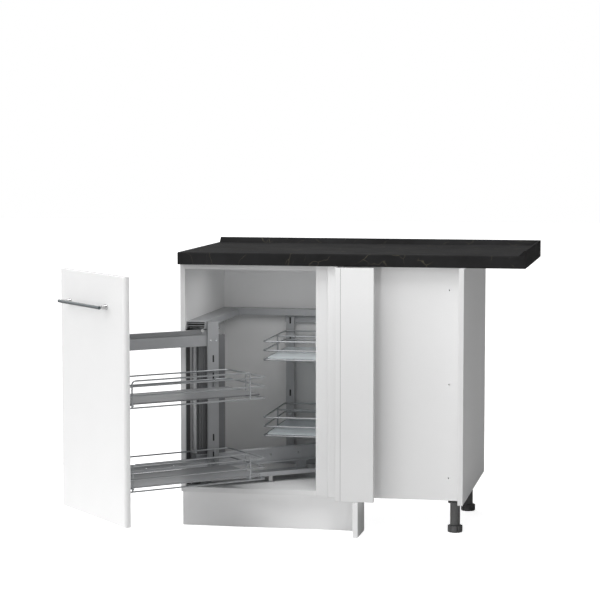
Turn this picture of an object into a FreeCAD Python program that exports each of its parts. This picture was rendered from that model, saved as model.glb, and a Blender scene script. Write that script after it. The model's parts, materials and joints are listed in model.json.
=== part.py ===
import FreeCAD, Part
import math
import os

# Corner base cabinet with a swing-out corner fitting, drawn out. Millimetres, +Z up.
# Working frame: X from the outer face of the left side, Y from the carcass front, Z from the floor.
V = FreeCAD.Vector

# Carcass
CARCASS_WIDTH = 900.0
CARCASS_DEPTH = 560.0
CARCASS_HEIGHT = 720.0
FOOT_HEIGHT = 110.0
BOARD = 16.0
BACK_BOARD = 3.0
BACK_INSET = 12.0
GROOVE_DEPTH = 8.0
GROOVE_PLAY = 0.2
TOP_RAIL_WIDTH = 100.0
OPENING_WIDTH = 416.0
SIDE_OVERHANG = 80.0
CONNECTOR_HOLE = 5.0
CONNECTOR_INSET = 37.0
CONNECTOR_END = 70.0

# Corner filler
FILLER_BOARD = 16.0
FILLER_STRIP_START = 40.0
FILLER_STRIP_WIDTH = 34.5
FILLER_FRONT_WIDTH = 102.5

# Worktop and upstand
WORKTOP_LENGTH = 1080.0
WORKTOP_DEPTH = 600.0
WORKTOP_THICKNESS = 38.0
WORKTOP_FRONT_LAP = 33.0
WORKTOP_NOSE = 4.0
UPSTAND_HEIGHT = 16.0
UPSTAND_BASE = 22.0
UPSTAND_TOP = 5.0
UPSTAND_REBATE = 1.0

# Plinth
PLINTH_SETBACK = 22.0
PLINTH_BOARD = 16.0
PLINTH_TOP_GAP = 0.5
PLINTH_LENGTH = 563.0
PLINTH_RETURN_LENGTH = 90.0

# Levelling feet
FOOT_SIDE_INSET = 40.0
FOOT_FRONT_INSET = 70.0
FOOT_REAR_INSET = 122.0
FOOT_COLUMN = 28.0
FOOT_FLANGE = 58.0
FOOT_FLANGE_THICKNESS = 5.0
FOOT_SPIGOT = 20.0
FOOT_SPIGOT_REACH = 14.0
FOOT_STEM = 16.0
FOOT_STEM_REACH = 40.0
FOOT_SIDES = 16
PAD_DIAMETER = 47.0
PAD_HEIGHT = 22.0
PAD_CHAMFER = 4.0
PAD_SIDES = 10

# Running clearance between pieces that move against each other
PLAY = 0.3

# Corner fitting, fixed pieces
PIVOT_X = 34.0
PIVOT_Y = 54.0
COLUMN_DIAMETER = 22.0
COLUMN_WALL = 2.0
STEEL = 2.0
BASE_PLATE_THICKNESS = 3.0
BASE_PLATE_WIDTH = 56.0
BASE_PLATE_LENGTH = 110.0
GUIDE_HEIGHT = 22.0
GUIDE_TOP = 648.0
LEFT_GUIDE_WIDTH = 60.0
LEFT_GUIDE_START = 15.0
BACK_GUIDE_WIDTH = 45.0
GUIDE_SLOT = 10.0
FLOOR_GUIDE_HEIGHT = 20.0
TRACK_WIDTH = 24.0
TRACK_THICKNESS = 2.0
TRACK_SPARE_ANGLE = 2.0
SCREW_HEAD = 8.0
SCREW_HEAD_HEIGHT = 2.5
SCREW_SIDES = 6

# Swing frame, in its own axes from the pivot: x to the right, y to the back when closed
SWING_ANGLE = 48.0
PULL_OUT = 376.0
SLEEVE_WALL = 4.7
SLEEVE_PAD = 12.0
RAIL_BACK_GAP = 30.0
RAIL_FRONT = 14.0
RAIL_DEPTH = 18.0
LOWER_RAIL_BOTTOM = 179.0
LOWER_RAIL_HEIGHT = 48.0
UPPER_RAIL_BOTTOM = 603.0
UPPER_RAIL_HEIGHT = 20.0
UPPER_RAIL_LENGTH = 80.0
UPRIGHT_FRONT = 9.0
UPRIGHT_WIDTH = 93.0
UPRIGHT_RIB = 3.0
UPRIGHT_RIB_PITCH = 8.0
UPRIGHT_RIBS = 4
SHEET_BOTTOM = 146.0
SHEET_THICKNESS = 3.0
SHEET_REACH = 392.0
SHEET_WIDTH = 107.0
SHEET_NECK_WIDTH = 82.0
SHEET_NECK_LENGTH = 70.0
SHEET_HUB = 15.0
HUB_SIDES = 8
SHEET_FLANGE = 10.0
GLIDE_DIAMETER = 14.0
GLIDE_CHAMFER = 2.0
GLIDE_SIDES = 12
GLIDE_X = 88.0
GLIDE_Y = 224.0
RAIL_HOLE = 6.0
RAIL_HOLE_PLACES = (259.0, 362.0)

# Front pull-out
DOOR_WIDTH = 438.0
DOOR_HEIGHT = 730.0
DOOR_THICKNESS = 19.0
DOOR_BOTTOM = 98.0
DOOR_SIDE_GAP = 6.0
DOOR_GAP = 2.0
DOOR_SIDE_RADIUS = 11.0
DOOR_BRACKET = 3.0
DOOR_BRACKET_WIDTH = 44.0
DOOR_BRACKET_LAP = 14.0
HANDLE_LENGTH = 285.0
HANDLE_INSET = 56.0
HANDLE_DIAMETER = 10.0
HANDLE_HEIGHT = 733.0
HANDLE_STANDOFF = 30.0
HANDLE_POST = 8.0
HANDLE_FOOT = 17.0
HANDLE_POST_INSET = 18.0
UPPER_ARM_HEIGHT = 35.0
LOWER_ARM_HEIGHT = 21.0
LOWER_ARM_LIFT = 6.0
ARM_HOLE_PITCH = 96.0
POST_WIDTH = 38.0
POST_DEPTH = 8.0
POST_REAR_OFFSET = 16.0
SLOT_WIDTH = 6.0
SLOT_HEIGHT = 22.0
FRONT_SLOT_RISES = (34.0, 90.0)
REAR_SLOT_RISES = (16.0, 83.0)
REAR_POST_WIDTH = 28.0

# Wire baskets
WIRE = 5.0
WIRE_SIDES = 8
WIRE_WELD = 1.2
CORNER_CHORDS = 3
BASKET_CORNER = 12.0
TRAY_THICKNESS = 4.0
TRAY_LIFT = 6.0
BRACKET_THICKNESS = 2.0
BRACKET_WIDTH = 10.0
FRONT_BASKET_WIDTH = 233.0
FRONT_BASKET_GAP = 4.0
FRONT_BASKET_LENGTH = 513.0
FRONT_BASKET_BASES = (178.5, 428.5)
FRONT_MID = 36.0
FRONT_RIM = 64.0
FRONT_HOOP = 80.0
HOOP_CORNER = 11.0
HOOP_FRONT_INSET = 59.0
HOOP_REAR_INSET = 52.0
REAR_BASKET_WIDTH = 420.0
REAR_BASKET_DEPTH = 350.0
REAR_BASKET_BASES = (269.5, 514.0)
REAR_MID = 30.0
REAR_RIM = 59.0
REAR_CARRIAGE_X = 230.0
REAR_UPRIGHT_DEPTH = 210.0
REAR_POST_BACK_GAP = 25.0
REAR_POST_INSET = 4.0
BEAM_HEIGHT = 20.0
BEAM_DEPTH = 16.0
BEAM_GAP = 4.0
REAR_GLIDE_LENGTH = 60.0
REAR_GLIDE_NECK = 8.0

# Sizes that follow from the ones above
CARCASS_TOP = FOOT_HEIGHT + CARCASS_HEIGHT
FLOOR_TOP = FOOT_HEIGHT + BOARD
RIGHT_INNER = CARCASS_WIDTH - BOARD
BLIND_LEFT = BOARD + OPENING_WIDTH
BACK_FACE = CARCASS_DEPTH - BACK_INSET - BACK_BOARD
WORKTOP_TOP = CARCASS_TOP + WORKTOP_THICKNESS
FILLER_RETURN_LEFT = BLIND_LEFT + FILLER_STRIP_START + FILLER_STRIP_WIDTH
SLEEVE_RADIUS = COLUMN_DIAMETER / 2 + PLAY + SLEEVE_WALL
RAIL_LEFT = SLEEVE_RADIUS + SLEEVE_PAD
RAIL_END = BACK_FACE - PIVOT_Y - RAIL_BACK_GAP
ARM_FACE = RAIL_LEFT + RAIL_DEPTH + STEEL
RUNNER_RIGHT = ARM_FACE - 2 * STEEL - PLAY
DOOR_BACK = -PIVOT_Y - DOOR_GAP
ARM_START = DOOR_BACK + DOOR_BRACKET
POST_FACE = ARM_FACE + POST_DEPTH
WIRE_FLAT = WIRE / 2 * math.cos(math.pi / WIRE_SIDES)
UPPER_ARM_BOTTOM = UPPER_RAIL_BOTTOM + STEEL - UPPER_ARM_HEIGHT
LOWER_ARM_BOTTOM = LOWER_RAIL_BOTTOM + STEEL + LOWER_ARM_LIFT
REAR_POST_Y = PULL_OUT + POST_REAR_OFFSET
UPPER_ARM_END = REAR_POST_Y + POST_WIDTH
REAR_POST_FACE = BACK_FACE - REAR_POST_BACK_GAP
GUIDE_BOTTOM = GUIDE_TOP - GUIDE_HEIGHT
TRACK_RADIUS = math.hypot(GLIDE_X, GLIDE_Y)
ORIGIN = V(FOOT_SIDE_INSET, FOOT_FRONT_INSET, 0)


def box(x0, x1, y0, y1, z0, z1):
    return Part.makeBox(x1 - x0, y1 - y0, z1 - z0, V(x0, y0, z0))


def rod(radius, height, base, axis=V(0, 0, 1)):
    return Part.makeCylinder(radius, height, base, axis)


def prism(points, height):
    wire = Part.makePolygon(points + [points[0]])
    return Part.Face(wire).extrude(height)


def many_sided(radius, height, base, sides):
    """Upright prism with a regular outline, a corner radius and a number of sides."""
    turns = [2 * math.pi * (side + 0.5) / sides for side in range(sides)]
    return prism([base + V(radius * math.cos(t), radius * math.sin(t), 0) for t in turns], V(0, 0, height))


def corner_run(centre, first, second, radius):
    """Points along a quarter bend from one direction to another, in equal chords."""
    points = []
    for step in range(CORNER_CHORDS + 1):
        turn = math.pi / 2 * step / CORNER_CHORDS
        points.append(centre + first * (radius * math.cos(turn)) + second * (radius * math.sin(turn)))
    return points


def wire_along(points):
    """Wire with flat sides swept along a run of points; the first run sets its section."""
    heading = (points[1] - points[0]).normalize()
    side = V(0, 0, 1).cross(heading) if abs(heading.z) < 0.5 else V(1, 0, 0)
    upright = heading.cross(side)
    section = []
    for corner in range(WIRE_SIDES + 1):
        turn = 2 * math.pi * (corner + 0.5) / WIRE_SIDES
        across, along = WIRE / 2 * math.cos(turn), WIRE / 2 * math.sin(turn)
        section.append(points[0] + side * across + upright * along)
    return Part.makePolygon(points).makePipeShell([Part.makePolygon(section)], True, False, 1)


def wire_ring(x0, x1, y0, y1, z):
    """Closed rectangle of wire with round corners, started in the middle of a side."""
    r = BASKET_CORNER
    east, north, west, south = V(1, 0, 0), V(0, 1, 0), V(-1, 0, 0), V(0, -1, 0)
    start = V((x0 + x1) / 2, y0, z)
    points = [start]
    points += corner_run(V(x1 - r, y0 + r, z), south, east, r)
    points += corner_run(V(x1 - r, y1 - r, z), east, north, r)
    points += corner_run(V(x0 + r, y1 - r, z), north, west, r)
    points += corner_run(V(x0 + r, y0 + r, z), west, south, r)
    return wire_along(points + [start])


def wire_hoop(x, y0, y1, z0, z1):
    """Upright hoop in a plane of constant x, with round upper corners."""
    r = HOOP_CORNER
    back, front, up = V(0, 1, 0), V(0, -1, 0), V(0, 0, 1)
    points = [V(x, y0, z0)] + corner_run(V(x, y0 + r, z1 - r), front, up, r)
    points += corner_run(V(x, y1 - r, z1 - r), up, back, r) + [V(x, y1, z0)]
    return wire_along(points)


def wire_straight(start, end):
    return wire_along([start, end])


def screw_head(place, axis):
    """Hexagon screw head."""
    side = V(0, 0, 1).cross(axis) if abs(axis.z) < 0.5 else V(1, 0, 0)
    upright = axis.cross(side)
    turns = [2 * math.pi * corner / SCREW_SIDES for corner in range(SCREW_SIDES)]
    radius = SCREW_HEAD / 2
    points = [place + side * (radius * math.cos(t)) + upright * (radius * math.sin(t)) for t in turns]
    return prism(points, axis * SCREW_HEAD_HEIGHT)


def swung(shape):
    """Place a piece of the swing frame at rest."""
    shape = shape.copy()
    shape.rotate(V(0, 0, 0), V(0, 0, 1), -SWING_ANGLE)
    shape.translate(V(PIVOT_X, PIVOT_Y, 0))
    return shape


def drawn(shape):
    """Place a piece of the front pull-out at rest: drawn out, then swung."""
    shape = shape.copy()
    shape.translate(V(0, -PULL_OUT, 0))
    return swung(shape)


def write(node, *shapes):
    shape = shapes[0] if len(shapes) == 1 else Part.makeCompound(list(shapes))
    shape = shape.copy()
    shape.translate(-ORIGIN)
    shape.exportStep("parts/" + node + ".step")


# Carcass boards
def back_groove():
    slot_front = BACK_FACE - GROOVE_PLAY
    slot_back = BACK_FACE + BACK_BOARD + GROOVE_PLAY
    return box(BOARD - GROOVE_DEPTH, RIGHT_INNER + GROOVE_DEPTH, slot_front, slot_back,
               FLOOR_TOP - GROOVE_DEPTH, CARCASS_TOP)


def left_side_panel():
    return box(0, BOARD, 0, CARCASS_DEPTH, FOOT_HEIGHT, CARCASS_TOP).cut(back_groove())


def right_side_panel():
    side = box(RIGHT_INNER, CARCASS_WIDTH, -SIDE_OVERHANG, CARCASS_DEPTH, FOOT_HEIGHT, CARCASS_TOP)
    return side.cut(back_groove())


def floor_panel():
    floor = box(BOARD, RIGHT_INNER, 0, CARCASS_DEPTH, FOOT_HEIGHT, FLOOR_TOP)
    return floor.cut(blind_space()).cut(back_groove())


def back_panel():
    return box(BOARD - GROOVE_DEPTH, RIGHT_INNER + GROOVE_DEPTH, BACK_FACE, BACK_FACE + BACK_BOARD,
               FLOOR_TOP - GROOVE_DEPTH, CARCASS_TOP)


def front_top_rail():
    rail = box(BOARD, RIGHT_INNER, 0, TOP_RAIL_WIDTH, CARCASS_TOP - BOARD, CARCASS_TOP)
    return rail.cut(blind_space())


def rear_top_rail():
    return box(BOARD, RIGHT_INNER, BACK_FACE - TOP_RAIL_WIDTH, BACK_FACE, CARCASS_TOP - BOARD, CARCASS_TOP)


def blind_space():
    return box(BLIND_LEFT, RIGHT_INNER, 0, BOARD, FOOT_HEIGHT, CARCASS_TOP)


def blind_front_panel():
    panel = blind_space()
    middle = (FOOT_HEIGHT + CARCASS_TOP) / 2
    for z in (FOOT_HEIGHT + CONNECTOR_END, middle, CARCASS_TOP - CONNECTOR_END):
        panel = panel.cut(rod(CONNECTOR_HOLE / 2, BOARD, V(RIGHT_INNER - CONNECTOR_INSET, 0, z), V(0, 1, 0)))
    return panel


def filler_door_strip():
    left = BLIND_LEFT + FILLER_STRIP_START
    return box(left, FILLER_RETURN_LEFT, -FILLER_BOARD, 0, FOOT_HEIGHT, CARCASS_TOP)


def filler_return():
    right = FILLER_RETURN_LEFT + FILLER_BOARD
    return box(FILLER_RETURN_LEFT, right, -SIDE_OVERHANG, 0, FOOT_HEIGHT, CARCASS_TOP)


def filler_front_strip():
    left = FILLER_RETURN_LEFT + FILLER_BOARD
    return box(left, left + FILLER_FRONT_WIDTH, -SIDE_OVERHANG, -SIDE_OVERHANG + FILLER_BOARD,
               FOOT_HEIGHT, CARCASS_TOP)


def worktop():
    back = WORKTOP_DEPTH - WORKTOP_FRONT_LAP
    top = box(0, WORKTOP_LENGTH, -WORKTOP_FRONT_LAP, back, CARCASS_TOP, WORKTOP_TOP)
    seat = WORKTOP_TOP - UPSTAND_REBATE
    wall = box(0, WORKTOP_LENGTH, back - UPSTAND_BASE, back, seat, WORKTOP_TOP)
    end = box(WORKTOP_LENGTH - UPSTAND_BASE, WORKTOP_LENGTH, WORKTOP_NOSE - WORKTOP_FRONT_LAP, back,
              seat, WORKTOP_TOP)
    nose = [edge for edge in top.Edges if edge.CenterOfMass.z > WORKTOP_TOP - WORKTOP_NOSE
            and edge.CenterOfMass.y < -WORKTOP_FRONT_LAP + WORKTOP_NOSE]
    return top.makeFillet(WORKTOP_NOSE, nose).cut([wall, end])


def wall_upstand():
    """Sloped strip along the back edge and the right end, seated in a shallow rebate of the worktop."""
    back = WORKTOP_DEPTH - WORKTOP_FRONT_LAP
    front = WORKTOP_NOSE - WORKTOP_FRONT_LAP
    seat, top = WORKTOP_TOP - UPSTAND_REBATE, WORKTOP_TOP + UPSTAND_HEIGHT
    profile = [(0, seat), (0, top), (UPSTAND_TOP, top), (UPSTAND_BASE, WORKTOP_TOP), (UPSTAND_BASE, seat)]
    wall = prism([V(0, back - depth, z) for depth, z in profile], V(WORKTOP_LENGTH, 0, 0))
    end = prism([V(WORKTOP_LENGTH - depth, front, z) for depth, z in profile], V(0, back - front, 0))
    return wall.fuse(end).removeSplitter()


def plinth_front():
    back = PLINTH_SETBACK + PLINTH_BOARD
    return box(0, PLINTH_LENGTH, PLINTH_SETBACK, back, 0, FOOT_HEIGHT - PLINTH_TOP_GAP)


def plinth_return():
    return box(PLINTH_LENGTH, PLINTH_LENGTH + PLINTH_BOARD, -PLINTH_RETURN_LENGTH,
               PLINTH_SETBACK + PLINTH_BOARD, 0, FOOT_HEIGHT - PLINTH_TOP_GAP)


# Levelling feet
def foot_places():
    places = {}
    for depth, y in (("front", FOOT_FRONT_INSET), ("rear", CARCASS_DEPTH - FOOT_REAR_INSET)):
        for side, x in (("left", FOOT_SIDE_INSET), ("right", CARCASS_WIDTH - FOOT_SIDE_INSET)):
            places[depth + "_" + side] = V(x, y, 0)
    return places


def foot_socket(place):
    under = place + V(0, 0, FOOT_HEIGHT - FOOT_FLANGE_THICKNESS)
    flange = many_sided(FOOT_FLANGE / 2, FOOT_FLANGE_THICKNESS, under, FOOT_SIDES)
    spigot = many_sided(FOOT_SPIGOT / 2, FOOT_SPIGOT_REACH, under - V(0, 0, FOOT_SPIGOT_REACH), FOOT_SIDES)
    return flange.fuse(spigot).removeSplitter()


def foot_column(place):
    """Column pressed on the spigot of the socket, with a bore for the stem of the turning pad."""
    bottom = place + V(0, 0, PAD_HEIGHT + PLAY)
    top = FOOT_HEIGHT - FOOT_FLANGE_THICKNESS
    column = many_sided(FOOT_COLUMN / 2, top - bottom.z, bottom, FOOT_SIDES)
    seat_bottom = place + V(0, 0, top - FOOT_SPIGOT_REACH)
    seat = many_sided(FOOT_SPIGOT / 2, FOOT_SPIGOT_REACH, seat_bottom, FOOT_SIDES)
    bore_radius = (FOOT_STEM / 2 + PLAY) / math.cos(math.pi / FOOT_SIDES)
    bore = many_sided(bore_radius, FOOT_STEM_REACH + PLAY, bottom, FOOT_SIDES)
    return column.cut(seat).cut(bore)


def foot_pad(place):
    pad = many_sided(PAD_DIAMETER / 2, PAD_HEIGHT, place, PAD_SIDES)
    rim = [edge for edge in pad.Edges if edge.BoundBox.ZMin > PAD_HEIGHT - PAD_CHAMFER]
    pad = pad.makeChamfer(PAD_CHAMFER, rim)
    return pad.fuse(many_sided(FOOT_STEM / 2, FOOT_STEM_REACH, place + V(0, 0, PAD_HEIGHT), FOOT_SIDES))


# Fitting pieces fixed to the cabinet
def base_plate():
    left = BOARD + PLAY
    front = PIVOT_Y - BASE_PLATE_WIDTH / 2
    return box(left, left + BASE_PLATE_WIDTH, front, front + BASE_PLATE_LENGTH,
               FLOOR_TOP, FLOOR_TOP + BASE_PLATE_THICKNESS)


def base_plate_screws():
    left = BOARD + PLAY
    front = PIVOT_Y - BASE_PLATE_WIDTH / 2
    inset = SCREW_HEAD
    heads = []
    for x in (left + inset, left + BASE_PLATE_WIDTH - inset):
        for y in (front + inset, front + BASE_PLATE_LENGTH - inset):
            heads.append(screw_head(V(x, y, FLOOR_TOP + BASE_PLATE_THICKNESS), V(0, 0, 1)))
    return heads


def pivot_column():
    bottom = FLOOR_TOP + BASE_PLATE_THICKNESS
    place = V(PIVOT_X, PIVOT_Y, bottom)
    height = GUIDE_TOP - STEEL - bottom
    tube = rod(COLUMN_DIAMETER / 2, height, place)
    return tube.cut(rod(COLUMN_DIAMETER / 2 - COLUMN_WALL, height, place))


def thrust_bush():
    bottom = FLOOR_TOP + BASE_PLATE_THICKNESS
    height = SHEET_BOTTOM - PLAY - bottom
    place = V(PIVOT_X, PIVOT_Y, bottom)
    ring = many_sided(SLEEVE_RADIUS, height, place, FOOT_SIDES)
    return ring.cut(rod(COLUMN_DIAMETER / 2, height, place))


def left_top_guide():
    y0 = LEFT_GUIDE_START
    y1 = BACK_FACE - BACK_GUIDE_WIDTH
    outer = box(BOARD, BOARD + LEFT_GUIDE_WIDTH, y0, y1, GUIDE_BOTTOM, GUIDE_TOP)
    hollow = box(BOARD + STEEL, BOARD + LEFT_GUIDE_WIDTH - STEEL, y0, y1, GUIDE_BOTTOM, GUIDE_TOP - STEEL)
    return outer.cut(hollow)


def channel_x(x0, x1, y0, y1, z0, z1, slot_y, opening):
    """Slotted channel along X, its slot in the bottom or in the top."""
    shell = box(x0, x1, y0, y1, z0, z1)
    hollow = box(x0, x1, y0 + STEEL, y1 - STEEL, z0 + STEEL, z1 - STEEL)
    z_slot = z0 if opening == "bottom" else z1 - STEEL
    slot = box(x0, x1, slot_y - GUIDE_SLOT / 2, slot_y + GUIDE_SLOT / 2, z_slot, z_slot + STEEL)
    return shell.cut(hollow).cut(slot)


def guide_middle():
    """Depth at which the slots of both back guides and the glides of the carriage lie."""
    return BACK_FACE - (BACK_FACE - REAR_POST_FACE - POST_DEPTH) / 2 - BEAM_GAP


def back_top_guide():
    return channel_x(BOARD, RIGHT_INNER, BACK_FACE - BACK_GUIDE_WIDTH, BACK_FACE,
                     GUIDE_BOTTOM, GUIDE_TOP, guide_middle(), "bottom")


def back_floor_guide():
    return channel_x(BOARD, RIGHT_INNER, BACK_FACE - BACK_GUIDE_WIDTH, BACK_FACE,
                     FLOOR_TOP, FLOOR_TOP + FLOOR_GUIDE_HEIGHT, guide_middle(), "top")


def arc_track():
    """Flat sector round the pivot on which the support glide runs."""
    lead = math.degrees(math.atan2(GLIDE_X, GLIDE_Y))
    start = 90 - lead - SWING_ANGLE - TRACK_SPARE_ANGLE
    sweep = SWING_ANGLE + 2 * TRACK_SPARE_ANGLE
    place = V(PIVOT_X, PIVOT_Y, FLOOR_TOP)
    outer = Part.makeCylinder(TRACK_RADIUS + TRACK_WIDTH / 2, TRACK_THICKNESS, place, V(0, 0, 1), sweep)
    inner = Part.makeCylinder(TRACK_RADIUS - TRACK_WIDTH / 2, TRACK_THICKNESS, place, V(0, 0, 1), sweep)
    track = outer.cut(inner)
    track.rotate(place, V(0, 0, 1), start)
    return track


# Swing frame
def sleeve(bottom, top):
    """Bearing sleeve with a flat pad that the rail is welded to."""
    height = top - bottom
    place = V(0, 0, bottom)
    pad = box(0, RAIL_LEFT, -RAIL_FRONT, RAIL_FRONT, bottom, top)
    bore = rod(COLUMN_DIAMETER / 2 + PLAY, height, place)
    return rod(SLEEVE_RADIUS, height, place).fuse(pad).cut(bore).removeSplitter()


def rail(bottom, height, depth, end):
    """Channel open to the right."""
    outer = box(RAIL_LEFT, RAIL_LEFT + depth, -RAIL_FRONT, end, bottom, bottom + height)
    hollow = box(RAIL_LEFT + STEEL, RAIL_LEFT + depth, -RAIL_FRONT, end,
                 bottom + STEEL, bottom + height - STEEL)
    return outer.cut(hollow)


def lower_rail():
    shape = rail(LOWER_RAIL_BOTTOM, LOWER_RAIL_HEIGHT, RAIL_DEPTH, RAIL_END)
    middle = LOWER_RAIL_BOTTOM + LOWER_RAIL_HEIGHT / 2
    for along in RAIL_HOLE_PLACES:
        shape = shape.cut(rod(RAIL_HOLE / 2, STEEL, V(RAIL_LEFT, along, middle), V(1, 0, 0)))
    return shape


def upper_rail():
    """Short guide head at the pivot that the runner of the upper arm passes through."""
    return rail(UPPER_RAIL_BOTTOM, UPPER_RAIL_HEIGHT, RAIL_DEPTH - 2 * STEEL, UPPER_RAIL_LENGTH - RAIL_FRONT)


def swing_upright():
    """Tall channel between the lower rail and the guide head, ribbed beside the pivot."""
    right = RUNNER_RIGHT - PLAY
    y0, y1 = -UPRIGHT_FRONT, UPRIGHT_WIDTH - UPRIGHT_FRONT
    z0, z1 = LOWER_RAIL_BOTTOM + LOWER_RAIL_HEIGHT, UPPER_RAIL_BOTTOM
    upright = box(RAIL_LEFT, right, y0, y1, z0, z1)
    upright = upright.cut(box(RAIL_LEFT, right - 2 * STEEL, y0 + STEEL, y1 - STEEL, z0, z1))
    for groove in range(UPRIGHT_RIBS):
        y = y0 + UPRIGHT_RIB + groove * UPRIGHT_RIB_PITCH
        upright = upright.cut(box(right - STEEL, right, y, y + UPRIGHT_RIB_PITCH - UPRIGHT_RIB, z0, z1))
    return upright


def base_sheet():
    """Sheet that carries the lower rail, with a hub round the pivot and a folded outer edge."""
    z = SHEET_BOTTOM
    neck = V(SHEET_NECK_WIDTH, SHEET_NECK_LENGTH, z)
    tip = V(SHEET_WIDTH, SHEET_REACH, z)
    fold = V(STEEL, 0, 0)
    outline = [V(0, -SHEET_HUB, z), V(RAIL_LEFT + RAIL_DEPTH, -SHEET_HUB, z), neck, tip,
               V(0, SHEET_REACH, z), V(-SHEET_HUB, SHEET_NECK_LENGTH, z), V(-SHEET_HUB, 0, z)]
    sheet = prism(outline, V(0, 0, SHEET_THICKNESS))
    hub = many_sided(SHEET_HUB / math.cos(math.pi / HUB_SIDES), SHEET_THICKNESS, V(0, 0, z), HUB_SIDES)
    flange = prism([neck, tip, tip - fold, neck - fold], V(0, 0, SHEET_THICKNESS + SHEET_FLANGE))
    bore = rod(COLUMN_DIAMETER / 2 + PLAY, SHEET_THICKNESS, V(0, 0, z))
    return sheet.fuse([hub, flange]).cut(bore).removeSplitter()


def rail_riser():
    """Folded plate that carries the rear of the lower rail on the base sheet."""
    y0 = SHEET_REACH - POST_WIDTH
    bottom = SHEET_BOTTOM + SHEET_THICKNESS
    outer = box(RAIL_LEFT, RAIL_LEFT + RAIL_DEPTH, y0, SHEET_REACH, bottom, LOWER_RAIL_BOTTOM)
    hollow = box(RAIL_LEFT + STEEL, RAIL_LEFT + RAIL_DEPTH, y0, SHEET_REACH,
                 bottom + STEEL, LOWER_RAIL_BOTTOM - STEEL)
    return outer.cut(hollow)


def support_glide():
    bottom = FLOOR_TOP + TRACK_THICKNESS + PLAY
    place = V(GLIDE_X, GLIDE_Y, bottom)
    glide = many_sided(GLIDE_DIAMETER / 2, SHEET_BOTTOM - bottom, place, GLIDE_SIDES)
    rim = [edge for edge in glide.Edges if edge.BoundBox.ZMax < bottom + GLIDE_CHAMFER]
    return glide.makeChamfer(GLIDE_CHAMFER, rim)


# Front pull-out
def door_panel():
    left = -PIVOT_X + DOOR_SIDE_GAP
    door = box(left, left + DOOR_WIDTH, DOOR_BACK - DOOR_THICKNESS, DOOR_BACK,
               DOOR_BOTTOM, DOOR_BOTTOM + DOOR_HEIGHT)
    front = DOOR_BACK - DOOR_THICKNESS
    faces = [edge for edge in door.Edges if edge.BoundBox.YMax < front + PLAY]
    sides = [edge for edge in faces if edge.BoundBox.ZLength > DOOR_WIDTH]
    return door.makeFillet(DOOR_SIDE_RADIUS, sides)


def handle_axis():
    left = -PIVOT_X + DOOR_SIDE_GAP + HANDLE_INSET
    return V(left, DOOR_BACK - DOOR_THICKNESS - HANDLE_STANDOFF, HANDLE_HEIGHT)


def handle_bar():
    bar = rod(HANDLE_DIAMETER / 2, HANDLE_LENGTH, handle_axis(), V(1, 0, 0))
    ends = [edge for edge in bar.Edges if HANDLE_DIAMETER * 3 < edge.Length < HANDLE_LENGTH / 2]
    return bar.makeChamfer(HANDLE_DIAMETER / 10, ends)


def handle_posts():
    """Posts that flare from the bar to a wide foot on the door."""
    posts = []
    for along in (HANDLE_POST_INSET, HANDLE_LENGTH - HANDLE_POST_INSET):
        base = handle_axis() + V(along, HANDLE_STANDOFF, 0)
        post = Part.makeCone(HANDLE_FOOT / 2, HANDLE_POST / 2, HANDLE_STANDOFF, base, V(0, -1, 0))
        posts.append(post.cut(rod(HANDLE_DIAMETER / 2, HANDLE_LENGTH, handle_axis(), V(1, 0, 0))))
    return posts


def upper_runner():
    """Strip along the upper arm that slides in the guide head."""
    return box(RAIL_LEFT + STEEL + PLAY, RUNNER_RIGHT, ARM_START, UPPER_ARM_END,
               UPPER_RAIL_BOTTOM + STEEL + PLAY, UPPER_RAIL_BOTTOM + UPPER_RAIL_HEIGHT - STEEL - PLAY)


def upper_arm():
    """Box-section arm with an upright web that is bolted to the runner."""
    left = RUNNER_RIGHT
    top = UPPER_ARM_BOTTOM + UPPER_ARM_HEIGHT
    web_top = UPPER_RAIL_BOTTOM + UPPER_RAIL_HEIGHT - STEEL
    outer = box(left, ARM_FACE, ARM_START, UPPER_ARM_END, UPPER_ARM_BOTTOM, top)
    hollow = box(left + STEEL / 2, ARM_FACE - STEEL / 2, ARM_START, UPPER_ARM_END,
                 UPPER_ARM_BOTTOM + STEEL / 2, top - STEEL / 2)
    web = box(left, left + STEEL / 2, ARM_START, UPPER_ARM_END, top, web_top)
    return outer.cut(hollow).fuse(web).removeSplitter()


def lower_arm():
    """Channel that runs inside the lower rail, open to the left, with a row of holes."""
    left = RAIL_LEFT + STEEL + PLAY
    top = LOWER_ARM_BOTTOM + LOWER_ARM_HEIGHT
    outer = box(left, ARM_FACE, ARM_START, RAIL_END, LOWER_ARM_BOTTOM, top)
    hollow = box(left, ARM_FACE - STEEL, ARM_START, RAIL_END, LOWER_ARM_BOTTOM + STEEL, top - STEEL)
    arm = outer.cut(hollow)
    middle = LOWER_ARM_BOTTOM + LOWER_ARM_HEIGHT / 2
    holes = int((RAIL_END - ARM_START) / ARM_HOLE_PITCH) - 1
    for step in range(1, holes):
        place = V(ARM_FACE - STEEL, ARM_START + POST_WIDTH + step * ARM_HOLE_PITCH, middle)
        arm = arm.cut(rod(RAIL_HOLE / 2, STEEL, place, V(1, 0, 0)))
    return arm


def slotted_post(y0, bottom, top):
    """Upright channel with slots above each basket that its hooks drop into."""
    outer = box(ARM_FACE, POST_FACE, y0, y0 + POST_WIDTH, bottom, top)
    hollow = box(ARM_FACE, POST_FACE - STEEL, y0 + STEEL, y0 + POST_WIDTH - STEEL, bottom, top)
    post = outer.cut(hollow)
    left = y0 + (POST_WIDTH - SLOT_WIDTH) / 2
    for base in FRONT_BASKET_BASES:
        for z in (base + rise for rise in FRONT_SLOT_RISES):
            post = post.cut(box(POST_FACE - STEEL, POST_FACE, left, left + SLOT_WIDTH, z, z + SLOT_HEIGHT))
    return post


def front_post_starts():
    return {"front": ARM_START, "rear": REAR_POST_Y}


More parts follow.
